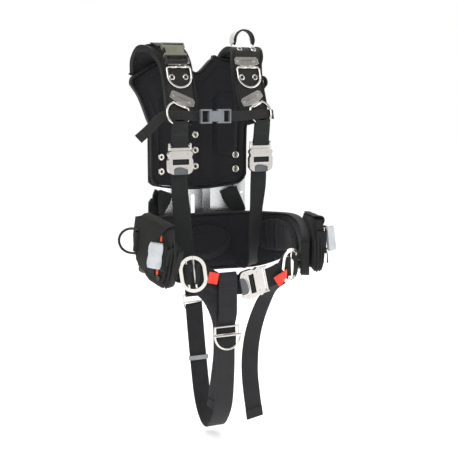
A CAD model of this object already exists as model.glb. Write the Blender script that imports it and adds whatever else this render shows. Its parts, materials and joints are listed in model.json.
"""Looks of the diver's carrying harness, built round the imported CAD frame. Lengths in the tables are in
millimetres, in the row frame; everything handed to Blender is in metres."""
import json
import math

import bmesh
import bpy
from mathutils import Matrix, Vector


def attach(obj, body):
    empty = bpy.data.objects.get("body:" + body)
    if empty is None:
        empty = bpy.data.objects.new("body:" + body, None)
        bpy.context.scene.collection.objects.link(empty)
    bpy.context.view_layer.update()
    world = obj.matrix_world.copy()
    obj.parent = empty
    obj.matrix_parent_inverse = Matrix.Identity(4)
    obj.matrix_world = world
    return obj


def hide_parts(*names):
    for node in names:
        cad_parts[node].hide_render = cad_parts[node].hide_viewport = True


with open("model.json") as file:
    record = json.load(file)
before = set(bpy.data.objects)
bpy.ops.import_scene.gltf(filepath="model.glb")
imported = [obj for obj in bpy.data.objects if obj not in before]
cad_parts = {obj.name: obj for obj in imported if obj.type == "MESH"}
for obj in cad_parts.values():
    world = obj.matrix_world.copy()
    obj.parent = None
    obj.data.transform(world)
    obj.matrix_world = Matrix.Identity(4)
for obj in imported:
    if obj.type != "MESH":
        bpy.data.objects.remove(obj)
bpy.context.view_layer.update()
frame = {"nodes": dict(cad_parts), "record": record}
NODES = frame["nodes"]
BODY = {n: b for b, nodes in frame["record"]["behaviour"]["bodies"].items() for n in nodes}
ROOT = BODY["backplate"]
MM = 0.001
SIDES = ((-1, "l"), (1, "r"))
scene = bpy.context.scene
scene.view_settings.view_transform = "Standard"


# ---- materials ----------------------------------------------------------------------------------
class Look:
    """A Principled material and a few short ways to wire its nodes."""

    def __init__(self, name, rough, metal=0.0, **sockets):
        self.mat = bpy.data.materials.new(name)
        self.mat.use_nodes = True
        self.tree = self.mat.node_tree
        self.shader = self.tree.nodes["Principled BSDF"]
        self.shader.inputs["Roughness"].default_value = rough
        self.shader.inputs["Metallic"].default_value = metal
        for key, value in sockets.items():
            self.shader.inputs[key.replace("_", " ")].default_value = value

    def node(self, kind, **settings):
        n = self.tree.nodes.new(kind)
        for key, value in settings.items():
            setattr(n, key, value)
        return n

    def feed(self, socket, value):
        if isinstance(value, bpy.types.NodeSocket):
            self.tree.links.new(value, socket)
        else:
            socket.default_value = value

    def math(self, op, a, b=0.0, c=0.0):
        n = self.node("ShaderNodeMath", operation=op)
        for socket, value in zip(n.inputs, (a, b, c)):
            self.feed(socket, value)
        return n.outputs[0]

    def xyz(self, coords):
        n = self.node("ShaderNodeSeparateXYZ")
        self.feed(n.inputs[0], self.node("ShaderNodeTexCoord").outputs[coords])
        return n.outputs

    def wave(self, value, pitch):
        """A sine of that pitch in millimetres, from 0 to 1."""
        s = self.math("SINE", self.math("MULTIPLY", value, 2 * math.pi / (pitch * MM)))
        return self.math("MULTIPLY_ADD", s, 0.5, 0.5)

    def noise(self, scale, detail=3.0, coords="Object", stretch=None):
        n = self.node("ShaderNodeTexNoise")
        n.inputs["Scale"].default_value = scale
        n.inputs["Detail"].default_value = detail
        source = self.node("ShaderNodeTexCoord").outputs[coords]
        if stretch:
            m = self.node("ShaderNodeMapping")
            m.inputs["Scale"].default_value = stretch
            self.feed(m.inputs[0], source)
            source = m.outputs[0]
        self.feed(n.inputs["Vector"], source)
        return n.outputs["Fac"]

    def colours(self, factor, *stops):
        """Colour ramp of (place, colour) stops, into the base colour."""
        n = self.node("ShaderNodeValToRGB")
        ramp = n.color_ramp
        while len(ramp.elements) < len(stops):
            ramp.elements.new(0.5)
        for e, (place, colour) in zip(ramp.elements, stops):
            e.position = place
            e.color = (*colour, 1)
        self.feed(n.inputs[0], factor)
        self.feed(self.shader.inputs["Base Color"], n.outputs[0])

    def roughness(self, factor, low, high):
        n = self.node("ShaderNodeMapRange")
        n.inputs["To Min"].default_value = low
        n.inputs["To Max"].default_value = high
        self.feed(n.inputs[0], factor)
        self.feed(self.shader.inputs["Roughness"], n.outputs[0])

    def bump(self, height, depth, strength=1.0):
        n = self.node("ShaderNodeBump")
        n.inputs["Distance"].default_value = depth * MM
        n.inputs["Strength"].default_value = strength
        self.feed(n.inputs["Height"], height)
        self.feed(self.shader.inputs["Normal"], n.outputs[0])


def webbing(name, dark, light, rib=1.6, depth=0.35, rough=0.62, sheen=0.05):
    """Woven strap: ribs across it and a herringbone along it. Its UVs are metres across and along."""
    k = Look(name, rough, Sheen_Weight=sheen, Sheen_Roughness=0.5, Specular_IOR_Level=0.24)
    u, v, _ = k.xyz("UV")
    zigzag = k.math("PINGPONG", u, 5 * MM)
    twill = k.wave(k.math("ADD", v, zigzag), 1.9)
    ribs = k.wave(v, rib)
    warp = k.wave(u, 1.1)
    weave = k.math("ADD", k.math("MULTIPLY", ribs, 0.55), k.math("MULTIPLY", twill, 0.3))
    height = k.math("MULTIPLY_ADD", warp, 0.2, weave)
    shade = k.math("MULTIPLY_ADD", k.noise(28, 4), 0.55, k.math("MULTIPLY", height, 0.45))
    k.colours(shade, (0.28, dark), (0.72, light))
    k.bump(height, depth)
    return k.mat


def cloth(name, dark, light, pitch=1.3, depth=0.3, rough=0.7, sheen=0.05):
    """Plain woven nylon, placed in the object's own space so that it needs no UVs."""
    k = Look(name, rough, Sheen_Weight=sheen, Sheen_Roughness=0.45, Specular_IOR_Level=0.22)
    x, y, z = k.xyz("Object")
    flat = k.math("MULTIPLY_ADD", y, -0.9, k.math("ABSOLUTE", x))
    a = k.wave(k.math("ADD", flat, z), pitch * 1.41)
    b = k.wave(k.math("SUBTRACT", flat, z), pitch * 1.41)
    weave = k.math("MAXIMUM", a, b)
    worn = k.noise(9, 5)
    k.colours(k.math("MULTIPLY_ADD", worn, 0.7, k.math("MULTIPLY", weave, 0.3)), (0.3, dark), (0.75, light))
    crease = k.math("MULTIPLY_ADD", k.noise(42, 2), 1.6, k.math("MULTIPLY", weave, 0.5))
    k.bump(crease, depth)
    k.roughness(worn, rough - 0.08, rough + 0.12)
    return k.mat


def spacer_mesh(name, hole, thread, pitch=4.4, depth=0.9):
    """Air mesh with rows of diamond holes."""
    k = Look(name, 0.82, Sheen_Weight=0.12, Sheen_Roughness=0.4, Specular_IOR_Level=0.25)
    x, y, z = k.xyz("Object")
    flat = k.math("MULTIPLY_ADD", y, -0.9, k.math("ABSOLUTE", x))
    a = k.wave(k.math("ADD", flat, k.math("MULTIPLY", z, 0.8)), pitch)
    b = k.wave(k.math("SUBTRACT", flat, k.math("MULTIPLY", z, 0.8)), pitch)
    grid = k.math("SMOOTH_MAX", a, b, 0.2)
    fine = k.wave(z, 0.9)
    shade = k.math("MULTIPLY_ADD", k.noise(14, 4), 0.35, k.math("MULTIPLY", grid, 0.65))
    k.colours(shade, (0.3, hole), (0.62, thread), (0.95, tuple(1.7 * c for c in thread)))
    k.bump(k.math("MULTIPLY_ADD", fine, 0.08, grid), depth)
    return k.mat


def metal(name, colour, rough=0.22, brushed=None, depth=0.05):
    k = Look(name, rough, 1.0)
    n = k.noise(22, 5, stretch=brushed)
    fine = k.noise(420, 2, stretch=brushed)
    k.colours(n, (0.3, tuple(0.9 * c for c in colour)), (0.7, colour))
    k.roughness(n, rough - 0.05, rough + 0.09)
    k.bump(k.math("MULTIPLY_ADD", fine, 0.25, n), depth)
    return k.mat


def plastic(name, dark, light, rough=0.42, grain=1400, depth=0.06):
    k = Look(name, rough)
    n = k.noise(35, 5)
    k.colours(n, (0.3, dark), (0.7, light))
    k.roughness(n, rough - 0.05, rough + 0.12)
    k.bump(k.noise(grain, 2), depth)
    return k.mat


WEB = webbing("web_black", (0.0045, 0.005, 0.0048), (0.013, 0.015, 0.014))
CROTCH = webbing("web_crotch", (0.007, 0.0067, 0.008), (0.019, 0.018, 0.021), rib=2.4, depth=0.6)
CHEST = webbing("web_chest", (0.006, 0.0066, 0.006), (0.017, 0.0185, 0.0165))
RED = webbing("web_red", (0.66, 0.035, 0.022), (0.95, 0.075, 0.045), rough=0.55, sheen=0.1)
GREY_WEB = webbing("web_grey", (0.05, 0.045, 0.038), (0.14, 0.125, 0.105), rib=2.4, depth=0.7)
TAPE = webbing("binding_tape", (0.004, 0.0043, 0.0043), (0.012, 0.0127, 0.0123), rib=1.0, depth=0.2)
PAD_CLOTH = cloth("pad_cloth", (0.009, 0.0096, 0.0082), (0.022, 0.0225, 0.0195))
BLACK_CLOTH = cloth("black_cloth", (0.005, 0.0055, 0.005), (0.015, 0.0155, 0.014))
POCKET_CLOTH = cloth("pocket_cloth", (0.006, 0.006, 0.0048), (0.019, 0.0185, 0.015), pitch=1.7, depth=0.5)
ORANGE = cloth("lining_orange", (0.70, 0.075, 0.02), (0.98, 0.16, 0.05), pitch=1.0)
MESH = spacer_mesh("spacer_mesh", (0.001, 0.001, 0.0012), (0.012, 0.0123, 0.015), pitch=5.6, depth=1.3)
STEEL = metal("polished_steel", (0.70, 0.67, 0.63), 0.15, depth=0.03)
PLATE = metal("plate_steel", (0.80, 0.82, 0.83), 0.2, brushed=(1, 1, 0.06), depth=0.02)
FORGED = metal("buckle_steel", (0.66, 0.63, 0.60), 0.22, depth=0.05)
BLACK_WIRE = metal("black_wire", (0.045, 0.040, 0.035), 0.34)
GREY = plastic("chest_grey", (0.13, 0.14, 0.15), (0.20, 0.21, 0.225))
KHAKI = plastic("clip_khaki", (0.13, 0.13, 0.095), (0.19, 0.19, 0.145), rough=0.36)
DARK_PLASTIC = plastic("dark_plastic", (0.012, 0.012, 0.011), (0.026, 0.026, 0.024), rough=0.3)
GRIP = plastic("grip_grey", (0.40, 0.42, 0.44), (0.56, 0.58, 0.60), rough=0.46, grain=500, depth=0.18)
SLEEVE = plastic("sleeve_white", (0.62, 0.62, 0.60), (0.78, 0.78, 0.76), rough=0.4)
KEEPER = plastic("keeper_grey", (0.26, 0.27, 0.28), (0.36, 0.37, 0.38), rough=0.38)
SNAP = plastic("snap_black", (0.008, 0.008, 0.008), (0.02, 0.02, 0.02), rough=0.22)
TAB = plastic("tab_grey", (0.06, 0.065, 0.075), (0.10, 0.105, 0.115), rough=0.35)
THREAD = cloth("thread_black", (0.03, 0.03, 0.03), (0.08, 0.08, 0.08), pitch=0.5, depth=0.05)
RED_THREAD = cloth("thread_red", (0.4, 0.02, 0.01), (0.6, 0.05, 0.03), pitch=0.5, depth=0.05)
WHITE_THREAD = cloth("thread_white", (0.55, 0.54, 0.50), (0.80, 0.78, 0.72), pitch=0.5, depth=0.05)


# ---- making pieces ------------------------------------------------------------------------------
def add(name, mesh, mats, body=ROOT, replaces=(), smooth=True):
    o = bpy.data.objects.new(name, mesh)
    scene.collection.objects.link(o)
    for m in mats if isinstance(mats, (list, tuple)) else [mats]:
        if len(mesh.materials) < 8:
            mesh.materials.append(m)
    if smooth:
        mesh.polygons.foreach_set("use_smooth", [True] * len(mesh.polygons))
    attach(o, body)
    if replaces:
        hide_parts(*replaces)
    return o


def curve_point(p, i, t, closed=False):
    """Catmull-Rom through the rows of p, every number of a row alike."""
    n = len(p)
    rows = [p[(i + k) % n] if closed else p[max(0, min(n - 1, i + k))] for k in (-1, 0, 1, 2)]
    return [0.5 * (2 * b + (c - a) * t + (2 * a - 5 * b + 4 * c - d) * t * t + (3 * b - a - 3 * c + d) * t ** 3)
            for a, b, c, d in zip(*rows)]


class Route:
    """A strap's path: centre, tangent, across, normal, width and arc length at each of its stations."""

    def __init__(self, rows, n=6, closed=False, lift=0.0):
        spans = len(rows) if closed else len(rows) - 1
        pts = [curve_point(rows, i, k / n, closed) for i in range(spans) for k in range(n)]
        if not closed:
            pts.append(list(rows[-1]))
        self.closed, self.f, run = closed, [], 0.0
        m = len(pts)
        for i, q in enumerate(pts):
            a = pts[(i - 1) % m] if closed else pts[max(i - 1, 0)]
            b = pts[(i + 1) % m] if closed else pts[min(i + 1, m - 1)]
            t = (Vector(b[:3]) - Vector(a[:3])).normalized()
            side = Vector(q[3:6])
            side = (side - side.dot(t) * t).normalized()
            normal = t.cross(side)
            c = Vector(q[:3]) + lift * normal
            if self.f:
                run += (c - self.f[-1][0]).length
            self.f.append((c, t, side, normal, q[6], run))
        self.length = run

    def at(self, s):
        """The frame at arc length s; a negative s counts from the end."""
        if s < 0:
            s += self.length
        s = max(0.0, min(self.length, s))
        for a, b in zip(self.f, self.f[1:]):
            if b[5] >= s:
                k = (s - a[5]) / max(b[5] - a[5], 1e-9)
                return [x.lerp(y, k) if isinstance(x, Vector) else x + (y - x) * k for x, y in zip(a, b)]
        return self.f[-1]

    def point(self, s, u, h):
        c, _, side, normal, _, _ = self.at(s)
        return c + u * side + h * normal

    def part(self, s0, s1, n=10, lift=0.0, width=None):
        """A new route along this one from s0 to s1."""
        rows = []
        for k in range(n + 1):
            c, _, side, normal, w, _ = self.at(s0 + (s1 - s0) * k / n)
            rows.append([*(c + lift * normal), *side, width or w])
        return Route(rows, 2)


def across_x(width, *points):
    """Rows of a route through the points, lying across x."""
    return [[*p, 1, 0, 0, width] for p in points]


def placed(m, rows):
    """The rows of a route, moved by the matrix m."""
    return [[*(m @ Vector(q[:3])), *(m.to_3x3() @ Vector(q[3:6])), q[6]] for q in rows]


def strap(name, route, thick, mats, body=ROOT, replaces=(), square=0.75, bend=None, crown=0.0,
          wobble=0.0):
    """A strap with rounded edges, and UVs in metres across and along it."""
    profile = [(-1, 0), (-0.985, square), (-0.93, 1), (-0.5, 1 + crown), (0, 1 + crown), (0.5, 1 + crown), (0.93, 1),
               (0.985, square), (1, 0), (0.985, -square), (0.93, -1), (0.5, -1), (0, -1), (-0.5, -1), (-0.93, -1),
               (-0.985, -square)]
    m = len(profile)
    verts, uvs = [], []
    for c, t, side, normal, w, s in route.f:
        sway = wobble * (math.sin(s / 31) + 0.6 * math.sin(s / 13 + 1))
        for u, h in profile:
            v = c + (u * w / 2) * side + (h * thick / 2 + sway * u) * normal
            if bend:
                v = bend(v, u * w / 2, s)
            verts.append(v * MM)
            uvs.append((u * w / 2 * MM, s * MM))
    rings = len(route.f)
    faces = []
    for i in range(rings if route.closed else rings - 1):
        for j in range(m):
            a, b = i * m, (i + 1) % rings * m
            faces.append((a + j, a + (j + 1) % m, b + (j + 1) % m, b + j))
    if not route.closed:
        faces.append(tuple(reversed(range(m))))
        faces.append(tuple(range((rings - 1) * m, rings * m)))
    mesh = bpy.data.meshes.new(name)
    mesh.from_pydata(verts, [], faces)
    layer = mesh.uv_layers.new(name="UVMap")
    for poly in mesh.polygons:
        wrap = route.closed and max(v // m for v in poly.vertices) - min(v // m for v in poly.vertices) > 1
        for li, vi in zip(poly.loop_indices, poly.vertices):
            u, v = uvs[vi]
            layer.data[li].uv = (u, v + (route.length * MM if wrap and vi // m == 0 else 0))
    bm = bmesh.new()
    bm.from_mesh(mesh)
    bmesh.ops.recalc_face_normals(bm, faces=bm.faces)
    bm.to_mesh(mesh)
    bm.free()
    return add(name, mesh, mats, body, replaces)


def stitches(name, lines, mat=None, pitch=4.2, length=2.9, r=0.38, body=ROOT):
    """Rows of thread along lines of (point, normal) pairs."""
    verts, faces = [], []

    def stitch(a, b, n):
        t = (b - a).normalized()
        s = t.cross(n).normalized()
        mid = (a + b) / 2 + n * r * 0.9
        base = len(verts)
        verts.extend(p * MM for p in (a - n * r, mid + s * r * 1.2, mid + n * r * 0.5, mid - s * r * 1.2, b - n * r,
                                      mid - n * r))
        faces.extend(tuple(base + k for k in f) for f in
                     ((0, 1, 2), (0, 2, 3), (4, 2, 1), (4, 3, 2), (0, 5, 1), (0, 3, 5), (4, 1, 5), (4, 5, 3)))

    def along(line, marks, at):
        k = 1
        while k < len(marks) - 1 and marks[k] < at:
            k += 1
        t = (at - marks[k - 1]) / max(marks[k] - marks[k - 1], 1e-9)
        return [p.lerp(q, t) for p, q in zip(line[k - 1], line[k])]

    for line in lines:
        marks = [0.0]
        for (a, _), (b, _) in zip(line, line[1:]):
            marks.append(marks[-1] + (b - a).length)
        count = int((marks[-1] - length) / pitch) + 1 if marks[-1] > length else 0
        for k in range(count):
            a, normal = along(line, marks, k * pitch)
            stitch(a, along(line, marks, k * pitch + length)[0], normal.normalized())
    mesh = bpy.data.meshes.new(name)
    mesh.from_pydata(verts, [], faces)
    return add(name, mesh, mat or THREAD, body, smooth=False)


def row(route, s0, s1, u0, u1, h, n=12):
    """A line of (point, normal) from (s0, u0) to (s1, u1) on a strap's face at height h."""
    out = []
    for k in range(n + 1):
        f = route.at(s0 + (s1 - s0) * k / n)
        sign = 1 if h > 0 else -1
        out.append((f[0] + (u0 + (u1 - u0) * k / n) * f[2] + h * f[3], sign * f[3]))
    return out


def edge_rows(route, h, inset=4.0, s0=2.0, s1=-2.0, n=60):
    end = s1 + route.length if s1 < 0 else s1
    out = []
    for e in (-1, 1):
        line = []
        for k in range(n + 1):
            c, _, side, normal, w, _ = route.at(s0 + (end - s0) * k / n)
            line.append((c + e * (w / 2 - inset) * side + h * normal, (1 if h > 0 else -1) * normal))
        out.append(line)
    return out


def zigzag(route, s, half, h, step=2.6, tall=3.0):
    """A bar tack: thread to and fro across the strap."""
    count = int(2 * half / step)
    pts = []
    for k in range(count + 1):
        f = route.at(s + (tall if k % 2 else 0))
        pts.append((f[0] + (-half + k * step) * f[2] + h * f[3], (1 if h > 0 else -1) * f[3]))
    return pts


def evaluated(o):
    return bpy.data.meshes.new_from_object(o.evaluated_get(bpy.context.evaluated_depsgraph_get()))


SOFT = []


def move_points(mesh, how_far):
    """Moves each point along its normal by how_far(point, normal), all in mm. Normals are read before any move."""
    was = [(v.co.copy(), v.normal.copy()) for v in mesh.vertices]
    mesh.vertices.foreach_set("co", [x for p, n in was for x in p + n * how_far(p / MM, n) * MM])
    mesh.update()


def remeshed(name, node, mats, voxel, rounding):
    """A copy of a CAD node in its place, remeshed to voxel mm and smoothed."""
    mesh = NODES[node].data.copy()
    mesh.materials.clear()
    bm = bmesh.new()
    bm.from_mesh(mesh)
    bmesh.ops.remove_doubles(bm, verts=bm.verts, dist=1e-5)
    bm.to_mesh(mesh)
    bm.free()
    o = add(name, mesh, mats, BODY[node], (node,))
    m = o.modifiers.new("remesh", "REMESH")
    m.mode, m.voxel_size = "VOXEL", voxel * MM
    k = o.modifiers.new("smooth", "SMOOTH")
    k.iterations = rounding
    o.data = evaluated(o)
    o.modifiers.clear()
    return o


def soft_piece(name, node, mats, voxel, rounding, shrink, puff, cap):
    """A padded piece from a CAD soft solid: remeshed, rounded, and later swollen as cloth under pressure."""
    o = remeshed(name, node, mats, voxel, rounding)
    o.data.name = name
    move_points(o.data, lambda p, n: -shrink)
    SOFT.append((o, puff, cap))
    return o


def swell():
    """Runs every padded piece as cloth at once, then keeps what came out, capped."""
    start = {o.name: [v.co.copy() for v in o.data.vertices] for o, _, _ in SOFT}
    for o, puff, _ in SOFT:
        c = o.modifiers.new("Cloth", "CLOTH")
        c.settings.use_pressure = True
        c.settings.uniform_pressure_force = puff
        c.settings.quality = 4
        c.settings.mass = 0.3
        c.settings.tension_stiffness = 18
        c.settings.compression_stiffness = 18
        c.settings.bending_stiffness = 1.2
        c.settings.effector_weights.gravity = 0
        c.collision_settings.use_collision = False
        c.point_cache.frame_start, c.point_cache.frame_end = 1, 20
    for f in range(1, 21):
        scene.frame_set(f)
    done = [(o, evaluated(o)) for o, _, _ in SOFT]
    for o, mesh in done:
        o.modifiers.clear()
        o.data = mesh
    scene.frame_set(1)
    for o, _, cap in SOFT:
        flat = []
        for v, a in zip(o.data.vertices, start[o.name]):
            d = v.co - a
            flat.extend(a + d * min(1.0, cap * MM / max(d.length, 1e-9)))
        o.data.vertices.foreach_set("co", flat)
        o.data.update()


def refine(o, sculpt, levels=1):
    """One subdivision, then sculpt(point, normal) gives how far each point moves along its normal, in mm."""
    if levels:
        s = o.modifiers.new("subdivision", "SUBSURF")
        s.levels = s.render_levels = levels
        o.data = evaluated(o)
        o.modifiers.clear()
    move_points(o.data, sculpt)
    o.data.polygons.foreach_set("use_smooth", [True] * len(o.data.polygons))


def second_material(o, test):
    o.data.polygons.foreach_set("material_index", [int(test(p.center / MM, p.normal)) for p in o.data.polygons])
    o.data.update()


def step(x, low, high):
    t = max(0.0, min(1.0, (x - low) / (high - low)))
    return t * t * (3 - 2 * t)


def segment_gap(p, a, b):
    """Distance from p to the segment a to b, in the plane."""
    d = (b[0] - a[0], b[1] - a[1])
    t = max(0.0, min(1.0, ((p[0] - a[0]) * d[0] + (p[1] - a[1]) * d[1]) / (d[0] ** 2 + d[1] ** 2)))
    return math.hypot(p[0] - a[0] - t * d[0], p[1] - a[1] - t * d[1])


def loop_gap(p, loop):
    return min(segment_gap(p, a, b) for a, b in zip(loop, loop[1:] + loop[:1]))


def rounded_box(p, cx, cz, hw, hh, r):
    """Signed distance from p to a rounded rectangle, negative inside."""
    dx, dz = abs(p[0] - cx) - hw + r, abs(p[1] - cz) - hh + r
    return math.hypot(max(dx, 0), max(dz, 0)) + min(max(dx, dz), 0) - r


def sheet_piece(name, grid, thick, mats, body=ROOT):
    """A thin stiff sheet through a grid of points, in mm, with a folded edge look."""
    rows, cols = len(grid), len(grid[0])
    verts = [Vector(p) * MM for line in grid for p in line]
    faces = [(i * cols + j, i * cols + j + 1, (i + 1) * cols + j + 1, (i + 1) * cols + j)
             for i in range(rows - 1) for j in range(cols - 1)]
    mesh = bpy.data.meshes.new(name)
    mesh.from_pydata(verts, [], faces)
    o = add(name, mesh, mats, body, ())
    s = o.modifiers.new("solidify", "SOLIDIFY")
    s.thickness = thick * MM
    s.offset = 0
    b = o.modifiers.new("bevel", "BEVEL")
    b.width = thick * 0.35 * MM
    b.segments = 2
    o.data = evaluated(o)
    o.modifiers.clear()
    o.data.polygons.foreach_set("use_smooth", [True] * len(o.data.polygons))
    return o


def finish_node(node, mats, bevel):
    """Keeps a CAD node: its own material, and edges softened by bevel mm."""
    o = NODES[node]
    o.data.materials.clear()
    o.data.materials.append(mats)
    w = o.modifiers.new("weld", "WELD")
    w.merge_threshold = 1e-5
    if bevel:
        b = o.modifiers.new("bevel", "BEVEL")
        b.width = bevel * MM
        b.segments = 2
        b.limit_method = "ANGLE"
        b.angle_limit = math.radians(32)
        b.harden_normals = True
    return o


# ---- camera, floor and light --------------------------------------------------------------------
cam = bpy.data.objects.new("camera", bpy.data.cameras.new("camera"))
scene.collection.objects.link(cam)
cam.location = Vector((-1129.6, -2543.1, 210.8)) * MM
cam.rotation_euler = (Vector((42.5, -140, -165)) * MM - cam.location).to_track_quat("-Z", "Y").to_euler()
cam.data.lens = 81.0
cam.data.sensor_width = 36.0
scene.camera = cam

floor_mesh = bpy.data.meshes.new("floor")
floor_mesh.from_pydata([(-9, -9, -0.72), (9, -9, -0.72), (9, 9, -0.72), (-9, 9, -0.72)], [], [(0, 1, 2, 3)])
floor = bpy.data.objects.new("floor", floor_mesh)
scene.collection.objects.link(floor)
pale = Look("floor_pale", 0.8)
pale.colours(pale.noise(2, 2), (0.3, (0.93, 0.93, 0.93)), (0.7, (0.96, 0.96, 0.96)))
pale.shader.inputs["Emission Color"].default_value = (1, 1, 1, 1)
pale.shader.inputs["Emission Strength"].default_value = 0.42
floor_mesh.materials.append(pale.mat)

world = bpy.data.worlds.new("studio")
scene.world = world
world.use_nodes = True
wt = world.node_tree
background = wt.nodes["Background"]
direction = wt.nodes.new("ShaderNodeTexCoord")
split = wt.nodes.new("ShaderNodeSeparateXYZ")
ramp = wt.nodes.new("ShaderNodeValToRGB")
wt.links.new(direction.outputs["Generated"], split.inputs[0])
wt.links.new(split.outputs["Z"], ramp.inputs[0])
for e, (place, level) in zip(ramp.color_ramp.elements, ((0.0, 0.85), (1.0, 1.15))):
    e.position, e.color = place, (level, level, level, 1)
soft_ramp = ramp.color_ramp.elements.new(0.45)
soft_ramp.color = (0.16, 0.16, 0.165, 1)
seen = wt.nodes.new("ShaderNodeLightPath")
pick = wt.nodes.new("ShaderNodeMixRGB")
pick.inputs[2].default_value = (1, 1, 1, 1)
wt.links.new(seen.outputs["Is Camera Ray"], pick.inputs[0])
wt.links.new(ramp.outputs[0], pick.inputs[1])
wt.links.new(pick.outputs[0], background.inputs["Color"])
background.inputs["Strength"].default_value = 1.0


def area_light(name, at, to, size, watts):
    lamp = bpy.data.lights.new(name, "AREA")
    lamp.shape = "RECTANGLE"
    lamp.size, lamp.size_y = size
    lamp.energy = watts
    o = bpy.data.objects.new(name, lamp)
    scene.collection.objects.link(o)
    o.location = at
    o.rotation_euler = (Vector(to) - Vector(at)).to_track_quat("-Z", "Y").to_euler()


area_light("key", (-1.9, -2.2, 1.9), (0, -0.15, -0.1), (2.6, 2.2), 60)
area_light("fill", (2.4, -1.8, 0.5), (0, -0.15, -0.2), (1.8, 2.6), 26)
area_light("rim", (0.6, 1.6, 1.9), (0, -0.1, 0.1), (1.8, 0.8), 30)

# ---- CAD nodes that keep their shape --------------------------------------------------------------
KEPT = [("backplate", PLATE, 0.4), ("eyelets", STEEL, 0), ("plate_screws", STEEL, 0), ("crotch_slider", STEEL, 0),
        ("crotch_ring", STEEL, 0), ("rear_slider", STEEL, 0), ("chest_socket", GREY, 0.8), ("chest_plug", GREY, 0.8),
        ("clip_socket", KHAKI, 1.4), ("clip_plug", DARK_PLASTIC, 1.2), ("strap_keeper", KEEPER, 0.7)]
for _, s in SIDES:
    KEPT += [("d_ring_" + s, STEEL, 0), ("round_ring_" + s, STEEL, 0), ("pocket_ring_" + s, BLACK_WIRE, 0),
             ("upper_plate_" + s, STEEL, 0.5), ("lower_plate_" + s, STEEL, 0.5), ("belt_ring_" + s, STEEL, 0.5)]
for s in "lrw":
    KEPT += [("buckle_bar_" + s, FORGED, 0.7), ("buckle_body_" + s, FORGED, 1.1), ("buckle_tab_" + s, TAB, 0.8)]
for node, material, bevel in KEPT:
    finish_node(node, material, bevel)

# ---- padded pieces ------------------------------------------------------------------------------
LEAN = math.radians(18.8)


def front_at(x, z, w):
    return [x, -133 - (229 - z) * math.tan(LEAN), z, 1, 0, 0, w]


def flipped(rows):
    """The same route on the -X side."""
    return [[-q[0], q[1], q[2], q[3], -q[4], -q[5], q[6]] for q in rows]


def sided(rows, s):
    return rows if s > 0 else flipped(rows)


def arc(cx, cz, r, a0, a1, n=6):
    angles = [math.radians(a0 + (a1 - a0) * k / n) for k in range(n + 1)]
    return [[cx + r * math.cos(a), cz + r * math.sin(a)] for a in angles]


SHOULDER_FRONT = [front_at(102, 267, 81), front_at(98, 229, 80), front_at(98, 195, 80), front_at(99, 165, 80),
                  front_at(103, 142, 72), front_at(108, 124, 58), front_at(110, 116, 52)]
SHOULDER_L = flipped([[140, -24, 236, 0.95, -0.3, 0, 92], [140, -26, 254, 0.95, -0.3, 0, 94],
                      [139, -34, 274, 0.97, -0.2, 0, 93], [135, -57, 297, 1, -0.1, 0, 89],
                      [125, -86, 300, 1, 0, 0, 85], [112, -108, 287, 1, 0, 0, 83], *SHOULDER_FRONT])
SHOULDER_R = [[112, -20, 236, 0.98, -0.2, 0, 84], [112, -18, 258, 0.98, -0.2, 0, 84],
              [113, -24, 281, 1, -0.1, 0, 84], [116, -52, 300, 1, 0, 0, 83],
              [116, -86, 300, 1, 0, 0, 82], [110, -108, 287, 1, 0, 0, 82], *SHOULDER_FRONT]
SHOULDERS = {"l": SHOULDER_L, "r": SHOULDER_R}
BELT_HALF = [[60, -62, -206, 150], [107, -69, -206, 150], [146, -84, -204, 146], [178, -108, -198, 134],
             [199, -140, -190, 118], [208, -178, -186, 108], [207, -215, -193, 108], [199, -252, -207, 108],
             [188, -285, -222, 102], [179, -302, -229, 82]]
BELT = [[-q[0], q[1], q[2], 0, 0, 1, q[3]] for q in reversed(BELT_HALF)] + [[0, -60, -206, 0, 0, 1, 150]] + [
    [q[0], q[1], q[2], 0, 0, 1, q[3]] for q in BELT_HALF]
right_half = ([[30, -65], [70, -61]] + arc(102, -22, 34, -75, 0) + [[137, 92], [146, 122], [170, 178]]
              + arc(178, 216, 16, -30, 80) + [[118, 266], [66, 279]] + arc(34, 288, 18, -10, -70)
              + [[14, 245], [0, 240]])
PAD_LOOP = right_half + [[-x, z] for x, z in reversed(right_half[:-1])]
PAD_SLOPE, PAD_FLAT, PAD_REAR = 20 / 97, 46, 16.8


def pad_y(x, depth=0.0):
    """How far forward the back cushion's rear face stands at x, plus a depth into it."""
    return -PAD_REAR - depth - max(0, abs(x) - PAD_FLAT) * PAD_SLOPE


back_pad = soft_piece("back_pad_soft", "back_pad", [MESH, BLACK_CLOTH], voxel=4.2, rounding=2, shrink=1.2, puff=3.0,
                      cap=2.4)
shoulders = {s: soft_piece("shoulder_pad_%s_soft" % s, "shoulder_pad_" + s, [PAD_CLOTH, MESH], voxel=3.6, rounding=3,
                           shrink=0.9, puff=3.5, cap=1.8) for _, s in SIDES}
belt = soft_piece("waist_belt_soft", "waist_belt", [BLACK_CLOTH, MESH], voxel=4.6, rounding=3, shrink=1.4, puff=3.0,
                  cap=2.6)
cushions = soft_piece("belt_cushions_soft", "belt_pads", [MESH], voxel=3.0, rounding=5, shrink=0.2, puff=5.0, cap=4.0)
pockets = {s: soft_piece("weight_pocket_%s_soft" % s, "weight_pocket_" + s, [POCKET_CLOTH, BLACK_CLOTH], voxel=2.6,
                         rounding=4, shrink=0.8, puff=3.0, cap=2.2) for _, s in SIDES}
swell()


def pad_relief(p, n):
    """Two raised panels, and a sewn line inside the edge."""
    if n.y > -0.3:
        return 0.0
    at = (p.x, p.z)
    rise = 0.0
    for e in (-1, 1):
        d = rounded_box(at, e * 80, 104, 34, 84, 22)
        rise += 4.5 * step(-d, 0, 12) - 2.2 * math.exp(-(d / 3.0) ** 2)
    edge = loop_gap(at, PAD_LOOP)
    return rise - 2.0 * math.exp(-((edge - 23) / 2.6) ** 2)


refine(back_pad, pad_relief)
second_material(back_pad, lambda c, n: n.y > 0.2)


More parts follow.
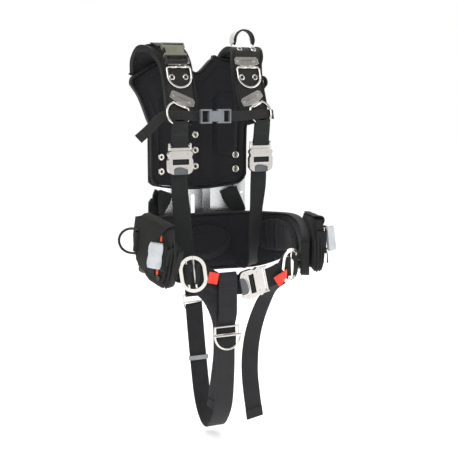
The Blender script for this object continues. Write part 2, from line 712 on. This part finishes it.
def route_frames(route):
    return [(f[0], f[2], f[3], f[4]) for f in route.f[::2]]


for _, name in SIDES:
    route = Route(SHOULDERS[name], 6)
    frames = route_frames(route)

    def relief(p, n, frames=frames):
        c, side, normal, w = min(frames, key=lambda f: (f[0] - p).length_squared)
        u = abs((p - c).dot(side))
        h = (p - c).dot(normal)
        groove = math.exp(-((w / 2 - u - 9) / 2.0) ** 2)
        return (-1.1 * groove if h > 3 else -1.6 * groove) + (0.9 * (1 - (2 * u / w) ** 2) if abs(h) > 4 else 0)

    refine(shoulders[name], relief)
    second_material(shoulders[name], lambda c, n, frames=frames: n.dot(
        min(frames, key=lambda f: (f[0] - c).length_squared)[2]) < -0.35)

belt_route = Route(BELT, 4)
belt_frames = route_frames(belt_route)


def belt_relief(p, n):
    c, side, normal, w = min(belt_frames, key=lambda f: (f[0] - p).length_squared)
    u = abs((p - c).dot(side))
    return -1.6 * math.exp(-((w / 2 - u - 11) / 2.4) ** 2)


refine(belt, belt_relief)
inward = belt_frames[len(belt_frames) // 2][2]
INSIDE = 1 if inward.y < 0 else -1
second_material(belt, lambda c, n: INSIDE * n.dot(min(belt_frames, key=lambda f: (f[0] - c).length_squared)[2]) > 0.3)
refine(cushions, lambda p, n: -0.9 * math.exp(-((abs((p.x / 80) ** 2 + ((p.z + 207) / 47) ** 2 - 0.72)) / 0.05) ** 2)
       if abs(p.x) < 90 else 0.0)


def binding(name, rows, thick, n=3):
    """Tape round an edge."""
    strap(name, Route(rows, n, closed=True), thick, [TAPE], square=0.85)


pad_edge = [[x, pad_y(x, 8), z, 0, 1, 0, 16.6] for x, z in PAD_LOOP]
binding("back_pad_binding", pad_edge, thick=5.0)
seam = []
for k in range(len(PAD_LOOP)):
    a, b = PAD_LOOP[k - 1], PAD_LOOP[(k + 1) % len(PAD_LOOP)]
    d = Vector((b[0] - a[0], b[1] - a[1])).normalized()
    x, z = PAD_LOOP[k][0] - d.y * 8.5, PAD_LOOP[k][1] + d.x * 8.5
    seam.append((Vector((x, pad_y(x, 16.3), z)), Vector((0, -1, 0))))
stitches("back_pad_stitching", [seam + seam[:1]], pitch=4.6)

for s, name in SIDES:
    route = Route(SHOULDERS[name], 4)
    edges = []
    for e in (-1, 1):
        line = [[*(f[0] + e * (f[4] / 2 - 0.6) * f[2]), *f[3], 14.8] for f in route.f]
        edges += line if e < 0 else list(reversed(line))
    binding("shoulder_binding_" + name, edges, n=2, thick=5.0)
    lines = edge_rows(route, 7.4, inset=8.5)
    stitches("shoulder_stitching_" + name, lines, pitch=4.4)

edges = []
for e in (-1, 1):
    line = [[*(f[0] + e * (f[4] / 2 - 1) * f[2]), *f[3], 22.6] for f in belt_route.f]
    edges += line if e < 0 else list(reversed(line))
binding("belt_binding", edges, n=2, thick=6.0)
stitches("belt_stitching", edge_rows(belt_route, 11.4, inset=10) + edge_rows(belt_route, -11.4, inset=10), pitch=5.0)

# ---- webbing ------------------------------------------------------------------------------------
W, WAIST, THIN, THICK = 45, 50, 2.4, 3.0
CHEST_END = [[147, -172.4, 134, 0.1, 0.34, 1, 25], [130, -176.4, 134.5, 0, 0.34, 1, 25],
             [112, -179, 134.5, 0, 0.34, 1, 25], [87, -184.6, 133, 0, 0.34, 1, 25], [62, -184, 131.5, 0, 0.1, 1, 25]]
chest_l = Route(flipped([[212, -150, 76, 0.55, 0.1, 0.8, 25], [198, -158, 90, 0.6, 0.1, 0.8, 25],
                         [181, -164, 107, 0.5, 0.1, 0.9, 25], [164, -168.5, 125, 0.3, 0.2, 1, 25], *CHEST_END,
                         [41, -182.9, 131, 0, 0, 1, 25]]), 6)
chest_r = Route([[156, -170, 133, 0.1, 0.34, 1, 25], *CHEST_END, [40, -182.9, 131, 0, 0, 1, 25],
                 [5, -182.9, 131, 0, 0, 1, 25]], 6)


def sign_out(route, s=None):
    """1 if the strap's normal at s points to the front, else -1."""
    return -1 if route.at(route.length / 2 if s is None else s)[3].y > 0 else 1


for name, route in (("l", chest_l), ("r", chest_r)):
    strap("chest_strap_" + name, route, 1.8, [CHEST], ROOT, ("chest_web_" + name,))
    h = sign_out(route) * 1.0
    stitches("chest_strap_stitching_" + name, edge_rows(route, h, 2.2), pitch=3.4, r=0.25)
tip = chest_l.part(0, 22, lift=0)
strap("chest_strap_tip", tip, 4.2, [CHEST])
stitches("chest_strap_tip_stitching", [row(tip, 17, 17, -10, 10, 2.2 * k) for k in (-1, 1)], pitch=3.0, r=0.3)

clip_rows = [curve_point(SHOULDER_L, i, t) for i in (2, 3, 4) for t in (0.0, 0.5)]
clip_rows.append(SHOULDER_L[5])
clip_route = Route([[*q[:6], WAIST] for q in clip_rows], 5, lift=0)
out = 1 if clip_route.at(clip_route.length / 2)[3].z > 0 else -1
clip_route = Route([[*q[:6], WAIST] for q in clip_rows], 5, lift=out * (7 + 1.2 + 1.2))
strap("clip_strap", clip_route, THIN, [WEB], ROOT, ("clip_web",))
stitches("clip_strap_stitching", edge_rows(clip_route, out * 1.3, 3.5), pitch=3.8, r=0.3)
fold = clip_route.part(clip_route.length - 44, clip_route.length - 20, lift=out * 3.4, width=WAIST)
strap("clip_strap_fold", fold, 3.2, [WEB])

# The upper webs: round the ring, down, round the buckle's rail and up again
for s, name in SIDES:
    x0, x1 = 115.5 * s, 113.8 * s
    ring = (-186.4, 112.4)
    rail = (-180.0, 59.0)
    rows = []
    for k in range(7):
        a = math.radians(205 - 230 * k / 6)
        rows.append([x0, ring[0] + 5.6 * math.cos(a), ring[1] + 5.6 * math.sin(a), 1, 0, 0, 40])
    for q in (0.3, 0.7):
        rows.append([x0 + (x1 - x0) * q, ring[0] + (rail[0] - ring[0]) * q + 2.2,
                     ring[1] + (rail[1] - ring[1]) * q, 1, 0, 0, 44])
    for k in range(7):
        a = math.radians(10 - 200 * k / 6)
        rows.append([x1, rail[0] + 3.9 * math.cos(a), rail[1] + 3.9 * math.sin(a), 1, 0, 0, W])
    for q in (0.35, 0.75):
        rows.append([x1 + (x0 - x1) * q, rail[0] + (ring[0] - rail[0]) * q - 2.4,
                     rail[1] + (ring[1] - rail[1]) * q, 1, 0, 0, 44])

    def gather(v, u, t, x0=x0):
        k = step(v.z, 88, 112)
        return v + Vector((0, 0, k * (30 - math.sqrt(max(30 ** 2 - u ** 2, 1))) * 0.75))

    route = Route(rows, 4, closed=True)
    strap("upper_strap_" + name, route, THIN, [WEB], ROOT, ("upper_web_" + name,), bend=gather)
    face = Route([[x1, -187.4, 95, 1, 0, 0, W], [x1, -185.2, 74, 1, 0, 0, W]], 4)
    h = sign_out(face)
    stitches("upper_strap_stitching_" + name, [row(face, k, k, -19, 19, 1.2 * h) for k in (6, 10)], pitch=3.2,
             r=0.3)

BACK = -180 + 6 + 0.9 + THIN / 2
LOWER = [[113, BACK, 40, 1, 0, 0, W], [112.5, BACK, 0, 1, 0, 0, W], [111, BACK, -50, 1, 0, 0, W],
         [106, -172, -110, 0.97, 0.25, 0, W], [101, -172, -170, 0.9, 0.4, 0, W], [97, -172, -225, 0.82, 0.55, 0, W],
         [98, -166, -252, 0.8, 0.5, 0.1, W], [100, -146, -264, 0.85, 0.4, 0.1, W],
         [103, -116, -267, 0.95, 0.2, 0.1, W], [107, -89, -266, 0.98, 0.1, 0, W]]
REAR = [[92, -38, -70, 1, -0.2, 0, W], [99, -40, -90, 0.95, -0.3, 0, W], [108, -46, -112, 0.75, -0.65, 0, W],
        [118, -54, -134, 0.5, -0.85, 0, W]]
for s, name in SIDES:
    route = Route(sided(LOWER, s), 8)
    strap("lower_strap_" + name, route, THIN, [WEB], ROOT, ("lower_web_" + name,), wobble=0.35)
    stitches("lower_strap_stitching_" + name, edge_rows(route, 1.3 * sign_out(route, 80), 3.2), pitch=3.8, r=0.28)
for s, name in SIDES:
    route = Route(sided(REAR, s), 8)
    strap("rear_strap_" + name, route, THIN, [WEB], ROOT, ("rear_webs",) if s < 0 else ())
    stitches("rear_strap_stitching_" + name, edge_rows(route, 1.3 * sign_out(route), 3.2), pitch=3.8, r=0.28)

BELT_WEB = [[142, -309.6, -243, 0.1, 0, 1, WAIST], [148, -308.6, -243, 0.1, 0, 1, WAIST],
            [153.4, -304.8, -242.5, 0.1, 0, 1, WAIST], [155.2, -300, -242, 0.08, 0, 1, WAIST],
            [160, -293.6, -241, 0.06, 0, 1, WAIST], [166.5, -288.5, -239, 0, 0, 1, WAIST],
            [173, -272, -236, 0, 0, 1, WAIST]]
WAIST_TO_RING = [[100, -313.2, -254, 0.1, 0, 1, WAIST], [106, -311, -250, 0.08, 0, 1, WAIST],
                 [112, -309.2, -247, 0.05, 0, 1, WAIST], [118, -309.8, -244.5, 0, 0, 1, WAIST],
                 [124, -312, -243, 0, 0, 1, WAIST], [131, -313.6, -242.5, 0, 0, 1, WAIST]]
WAIST_L = [[-6, -308.6, -280, 0.05, 0, 1, WAIST], [14, -308.6, -278, 0, 0, 1, WAIST],
           [34, -308.6, -277, 0, 0, 1, WAIST], [50, -309.4, -276, 0, 0, 1, WAIST],
           [68, -312.6, -272, 0.1, 0, 1, WAIST], [86, -314.4, -263, 0.15, 0, 1, WAIST], *WAIST_TO_RING]
WAIST_R = [[59, -312.4, -269, -0.15, 0, 1, WAIST], [72, -313.4, -266, -0.1, 0, 1, WAIST],
           [86, -314.4, -261, 0, 0, 1, WAIST], *WAIST_TO_RING]
TAIL_L = [[115, -303, -266, 1, -0.2, 0.3, 44], [104, -297, -281, 1, -0.1, 0.4, 47],
          [72, -285, -318, 0.9, 0.2, 0.4, 47], [42, -264, -381, 0.6, 0.8, 0, 47], [32, -244, -450, 0.4, 0.9, 0, 47],
          [28, -224, -517, 0.35, 0.95, 0, 47], [24, -198, -584, 0.35, 0.95, 0, 47], [19, -178, -634, 0.4, 0.9, 0, 47]]
TAIL_R = [[119, -303, -262, 1, -0.2, -0.2, 40], [102, -297, -285, 0.9, 0, 0.5, 47],
          [72, -285, -328, 0.9, 0, 0.5, 47], [52, -272, -393, 1, 0, 0.2, 47], [45, -261, -457, 1, 0, 0, 47],
          [46, -255, -522, 1, 0, 0, 47], [54, -252, -585, 1, 0, 0, 47], [64, -250, -646, 1, 0, 0.1, 47]]
for s, name, front, tail in ((-1, "l", WAIST_L, TAIL_L), (1, "r", WAIST_R, TAIL_R)):
    route = Route(sided(BELT_WEB, s), 6)
    strap("belt_strap_" + name, route, THICK, [WEB], ROOT, ("belt_web_" + name,))
    h = sign_out(route) * 1.7
    stitches("belt_strap_tacks_" + name, [zigzag(route, 33, 21, h, 2.4, 2.6), zigzag(route, 37, 21, h, 2.4, 2.6)],
             WHITE_THREAD, pitch=2.6, length=2.4, r=0.34)
    route = Route(sided(front, s), 6)
    strap("waist_strap_" + name, route, THIN, [WEB], ROOT, ("waist_web_" + name,))
    stitches("waist_strap_stitching_" + name, edge_rows(route, 1.3 * sign_out(route), 3.5), pitch=3.8, r=0.3)
    route = Route(sided(tail, s), 8)
    strap("waist_tail_" + name, route, THIN, [CROTCH], wobble=0.3)
    stitches("waist_tail_stitching_" + name, edge_rows(route, 1.3, 3) + edge_rows(route, -1.3, 3), pitch=3.8, r=0.28)
    hem = route.part(route.length - 27, route.length - 0.5)
    strap("waist_tail_hem_" + name, hem, 5.2, [CROTCH])
    stitches("waist_tail_hem_stitching_" + name, [row(hem, k, k, -20, 20, h) for k in (3, 6) for h in (-2.7, 2.7)],
             pitch=3.2, r=0.3)


def buckle_axes(s):
    """The frame of a quick-release buckle: x across the webbing, y towards the bar, z outwards."""
    if s:
        flip = Matrix.Scale(-1, 4, (1, 0, 0)) if s < 0 else Matrix.Identity(4)
        return flip @ Matrix.Translation((113, -180, 17)) @ Matrix.Rotation(math.radians(90), 4, "X")
    return (Matrix.Translation((17, -316, -277)) @ Matrix.Rotation(math.radians(-12), 4, "Y")
            @ Matrix.Rotation(math.radians(90), 4, "X") @ Matrix.Rotation(math.radians(-90), 4, "Z"))


# The webbing that shows in each buckle's window, round the bar inside it
for s, name, wide in ((-1, "l", W), (1, "r", W), (0, "w", WAIST)):
    m = buckle_axes(s)
    bulge = ((-5, -3.2), (-4.2, 0.4), (-1, 2.8), (3, 3.1), (6.6, 1.4), (7.8, -3))
    rows = [[0, y, z, 1, 0, 0, wide - 4] for y, z in bulge]
    strap("buckle_window_strap_" + name, Route(placed(m, rows), 4), 2.0, [WEB], BODY["buckle_body_" + name])

# Red tabs
TAB_W = 28
tab_l = Route(flipped([[101, -319.4, -251, 0.15, 0, 1, TAB_W], [89, -321.4, -254, 0.15, 0, 1, TAB_W],
                       [76, -321.8, -257, 0.15, 0, 1, TAB_W]]), 6)
tab_r = Route([[116, -318.6, -258, 0.6, 0, 0.8, TAB_W], [106, -321.6, -264.5, 0.6, 0, 0.8, TAB_W],
               [96, -322.6, -271.5, 0.6, 0, 0.8, TAB_W], [85, -322.4, -279, 0.6, 0, 0.8, TAB_W]], 6)
for name, route in (("l", tab_l), ("r", tab_r)):
    strap("red_tab_" + name, route, 2.4, [RED], ROOT, ("red_tabs",) if name == "l" else ())
    h = sign_out(route)
    for k, (a, b) in enumerate(((1, 9), (route.length - 8, route.length - 1))):
        strap("red_tab_fold_%s_%d" % (name, k), route.part(a, b, lift=1.5 * h), 1.6, [RED])
    stitches("red_tab_stitching_" + name, [row(route, 11, 11, -12, 12, 1.5 * h), *edge_rows(route, 1.4 * h, 2)],
             RED_THREAD, pitch=3.2, r=0.28)

# Crotch strap: a loop over the waist strap, the long strap through the legs and its rear end
cx = -49
loop = across_x(WAIST, (cx, -321.8, -262), (cx, -321.8, -300), (cx, -321.6, -340), (cx, -318, -358),
                       (cx, -312.4, -372), (cx, -311.8, -384), (cx, -310.4, -388), (cx, -308.8, -384),
                       (cx, -307.6, -366), (cx, -306.2, -340), (cx, -306.2, -290), (cx, -306.2, -252),
                       (cx, -309.4, -246.2), (cx, -318.4, -246.2))
strap("crotch_loop", Route(loop, 5, closed=True), THIN, [CROTCH], ROOT, ("crotch_top",))
front = Route(across_x(WAIST, (cx, -323.2, -262), (cx, -323.2, -340)), 8)
h = sign_out(front)
stitches("crotch_loop_stitching", [row(front, 74 - k, 74 - k, -23, 23, 0.2 * h) for k in (0, 4)]
         + [row(front, 20, 20, -23, 23, 0.2 * h)] + edge_rows(front, 0.2 * h, 3), pitch=3.4, r=0.34)
CROTCH_ROUTE = across_x(WAIST, (-48, -310, -398), (-47, -304, -432), (-32, -272, -507), (-15, -226, -608),
                               (-8, -180, -667), (-1, -135, -692), (4, -88, -684), (8, -45, -639), (9, -18, -550),
                               (5, -8, -460), (0, -6, -384))
crotch = Route(CROTCH_ROUTE, 8)
strap("crotch_strap", crotch, THICK, [CROTCH], ROOT, ("crotch_web",))
stitches("crotch_strap_stitching", edge_rows(crotch, 1.6, 3) + edge_rows(crotch, -1.6, 3), pitch=3.8, r=0.3)
turn = Route(across_x(WAIST, (-48, -313.4, -432), (-48, -314.4, -412), (-48, -312.6, -400), (-48, -311.4, -392),
                             (-48, -310.4, -383)), 6)
strap("crotch_strap_turn", turn, THIN, [CROTCH])
stitches("crotch_strap_turn_stitching", [row(turn, 6, 6, -22, 22, 1.3 * sign_out(turn))], pitch=3.4, r=0.32)
rear_web = Route(across_x(WAIST, (0, 3, -215), (0, 3, -260), (0, 0, -310), (0, -4, -352), (0, -8.3, -357),
                                 (0, -6, -365)), 6)
strap("crotch_rear_strap", rear_web, THIN, [WEB], ROOT, ("crotch_rear_web",))
stitches("crotch_rear_stitching", edge_rows(rear_web, 1.3, 3.5) + edge_rows(rear_web, -1.3, 3.5), pitch=3.8, r=0.3)

# ---- lift handle: a webbing loop in a pale sleeve -------------------------------------------------
hx, hy, hz = 113, -78, 314.5


def arch(radius, width, foot, back, n=10):
    rows = []
    for k in range(n + 1):
        a = math.pi * k / n
        rows.append([hx - radius * math.cos(a), hy + back, hz + 10 + radius * math.sin(a), 0, 1, 0, width])
    return [[hx - radius, hy, hz + 1, 0, 1, 0, foot]] + rows + [[hx + radius, hy, hz + 1, 0, 1, 0, foot]]


BODY_HANDLE = BODY["lift_handle"]
strap("lift_strap", Route(arch(27, 22, 16, -4), 4), 3.2, [WEB], BODY_HANDLE, ("lift_handle",))
strap("lift_sleeve", Route(arch(29.8, 24, 18, 5)[:12], 5), 1.8, [SLEEVE], BODY_HANDLE)


# ---- weight pockets: x out from the belt, y to the rear, z up -------------------------------------
def pocket_frame(s):
    pitch = math.radians(12 if s < 0 else 0)
    m = (Matrix.Translation((221.2, -215, 0)) @ Matrix.Rotation(math.radians(-14.4), 4, "Z")
         @ Matrix.Translation((0, -50, -185)) @ Matrix.Rotation(pitch, 4, "X") @ Matrix.Translation((0, 50, 185)))
    return Matrix.Scale(-1, 4, (1, 0, 0)) @ m if s < 0 else m


def local_strap(name, m, rows, thick, mats, body=ROOT):
    return strap(name, Route(placed(m, rows), 6), thick, mats, body)


def lathe(name, profile, m, mat, body=ROOT, n=32):
    """A turned piece: (radius, height) pairs about the z axis of m."""
    verts = [m @ Vector((r * math.cos(2 * math.pi * k / n), r * math.sin(2 * math.pi * k / n), h)) * MM
             for r, h in profile for k in range(n)]
    faces = [(i * n + k, i * n + (k + 1) % n, (i + 1) * n + (k + 1) % n, (i + 1) * n + k)
             for i in range(len(profile) - 1) for k in range(n)]
    faces.append(tuple(range((len(profile) - 1) * n, len(profile) * n)))
    mesh = bpy.data.meshes.new(name)
    mesh.from_pydata(verts, [], faces)
    return add(name, mesh, mat, body)


def moulded(name, node, mat, voxel, rounding):
    """A smooth moulded copy of a CAD piece, in its place."""
    o = remeshed(name, node, mat, voxel, rounding)
    o.data.polygons.foreach_set("use_smooth", [True] * len(o.data.polygons))


for s, name in SIDES:
    m = pocket_frame(s)
    back = m.inverted()
    top = -107 if s < 0 else -122
    rail_z, lean = -176, (0 if s < 0 else 8)
    pouch = BODY["pouch_" + name]

    def folds(p, n, back=back):
        q = back @ p
        broad, fine = math.sin(q.z / 9 + q.y / 17) * math.sin(q.y / 14), math.sin(q.z / 5 - q.y / 8)
        return (0.9 * broad + 0.5 * fine) * step(q.x, 2, 9)

    refine(pockets[name], folds, levels=0)
    second_material(pockets[name], lambda c, n, back=back: (back @ c).y < -84 or (
        (back @ c).x > 25.2 and abs((back @ c).z + 176) < 27 and abs((back @ c).y + 2) < 8) or (back @ c).x < 1.5)
    # the cover: over the top and down the outer side, with a curved front edge
    path = [(1, top + 1.6), (9, top + 2.4), (18, top + 1.4), (25, top - 3), (27.4, top - 12), (27.8, -145),
            (28, -165), (27.8, -190), (27.4, -214), (26.6, -234)]
    grid = []
    for k, (x, z) in enumerate(path):
        rear_y = min(18, 22 - max(0, top - 6 - z) * 0.02) if z > -175 else 20 - (-175 - z) * 0.62
        front_y = -104 + 22 * step(top - z, 2, 34)
        if k < 4:
            rear_y = -4
        grid.append([m @ Vector((x + 0.6 * math.sin(j * 1.3 + k), rear_y + (front_y - rear_y) * j / 9, z))
                     for j in range(10)])
    sheet_piece("pocket_cover_" + name, grid, 2.0, [POCKET_CLOTH])
    hem = [[*g[-1], *(m.to_3x3() @ Vector((1, 0, 0.2))), 4.4] for g in grid[1:]]
    strap("pocket_cover_hem_" + name, Route(hem, 4), 2.6, [TAPE])
    out, up = m.to_3x3() @ Vector((1.2, 0, 0)), m.to_3x3() @ Vector((1, 0, 0.1))
    stitches("pocket_cover_stitching_" + name, [[(g[-1].lerp(g[-2], 0.45) + out, up) for g in grid[3:]]],
             pitch=3.8, r=0.3)
    # the open front: layers of cloth, each with a bound edge
    layers = ((21.5, 118, -250, top - 14), (14, 122, -256, top - 9), (6.5, 124, -258, top - 12),
              (1.5, 121, -254, top - 18))
    for k, (x, reach, low, high) in enumerate(layers):
        rows = []
        for j in range(9):
            t = j / 8
            z = low + (high - low) * t
            y = -reach + 12 + 20 * (2 * abs(t - 0.42)) ** 3
            rows.append([x + 1.6 * math.sin(2.2 * t + k), y, z, 0, 1, 0, 24])
        local_strap("pocket_layer_%s_%d" % (name, k), m, rows, 1.8, [BLACK_CLOTH])
        edge = [[q[0], q[1] - 12, q[2], 1, 0, 0, 4.6] for q in rows]
        local_strap("pocket_layer_edge_%s_%d" % (name, k), m, edge, 3.4, [TAPE])
    # orange lining that shows beside the handle
    for k, (z0, z1, y0, w) in enumerate(((-124 if s < 0 else -128, -162, -89, 9), (-200, -240, -88, 10))):
        rows = [[26.6 - 2.5 * t, y0 - 2 * t, z0 + (z1 - z0) * t, 0, 1, 0, w * (0.55 + 0.9 * t * (1.3 - t))] for t in
                (0, 0.25, 0.5, 0.75, 1)]
        local_strap("pocket_lining_%s_%d" % (name, k), m, rows, 1.4, [ORANGE])
    # woven patch behind the handle, the sleeve patch, and the snap
    local_strap("pocket_patch_" + name, m, [[29.4, -72, -158, 0, 1, 0, 22], [30, -72, -180, 0, 1, 0, 23],
                                            [29.4, -72, -203, 0, 1, 0, 22]], 2.4, [GREY_WEB])
    local_strap("pocket_sleeve_" + name, m, [
        [25.8, -16, rail_z, 0, 0, 1, 52], [28, -9, rail_z, 0, 0, 1, 52], [34.6, -5.4, rail_z, 0, 0, 1, 50],
        [35.4, 0, rail_z, 0, 0, 1, 50], [31, 3.8, rail_z, 0, 0, 1, 50], [24.5, 8, rail_z, 0, 0, 1, 50]], 2.2, [WEB])
    spot = m @ Matrix.Translation((26.6, -98, -236)) @ Matrix.Rotation(math.radians(90), 4, "Y")
    snap = [(6.6, -2), (6.8, 0.6), (6.0, 1.9), (4.6, 2.1), (4.0, 1.5), (2.6, 1.7), (0.6, 2.2)]
    lathe("pocket_snap_" + name, snap, spot, SNAP)
    # the pouch's front: cloth with a webbing strap up to the handle
    moulded("pouch_%s_soft" % name, "pouch_" + name, BLACK_CLOTH, 1.2, 3)
    px = 25 + 18.6 + lean / 2
    rows = [[28.6, -96, -146, 0.3, 0.95, 0, 19], [33, -97, -149, 0.6, 0.8, 0, 19],
            [px - 2, -98, -158, 0.7, 0.7, 0, 19], [px - 0.4, -98, -166, 0.7, 0.7, 0, 19],
            [px - 0.4, -98, -190, 0.7, 0.7, 0, 19], [px - 2, -98, -198, 0.7, 0.7, 0, 19],
            [33, -97, -208, 0.6, 0.8, 0, 19], [28.6, -96, -212, 0.3, 0.95, 0, 19]]
    local_strap("pull_strap_" + name, m, rows, 1.8, [WEB], body=pouch)
    moulded("pull_grip_" + name, "pull_handle_" + name, GRIP, 1.0, 9)
    local_strap("pouch_strap_" + name, m, [[28.8, -112, -150, 0.1, 1, 0, 15], [29.6, -110, -180, 0.1, 1, 0, 16],
                                           [28.6, -112, -214, 0.1, 1, 0, 15]], 2.2, [WEB], body=pouch)
m = pocket_frame(1)
zip_rows = [[30, -116, -206, 0, 1, 0, 5], [33, -117, -218, 0.3, 1, 0, 5.4], [33.5, -117, -238, 0, 1, 0, 6]]
local_strap("pocket_zip_pull", m, zip_rows, 2.6, [TAPE])
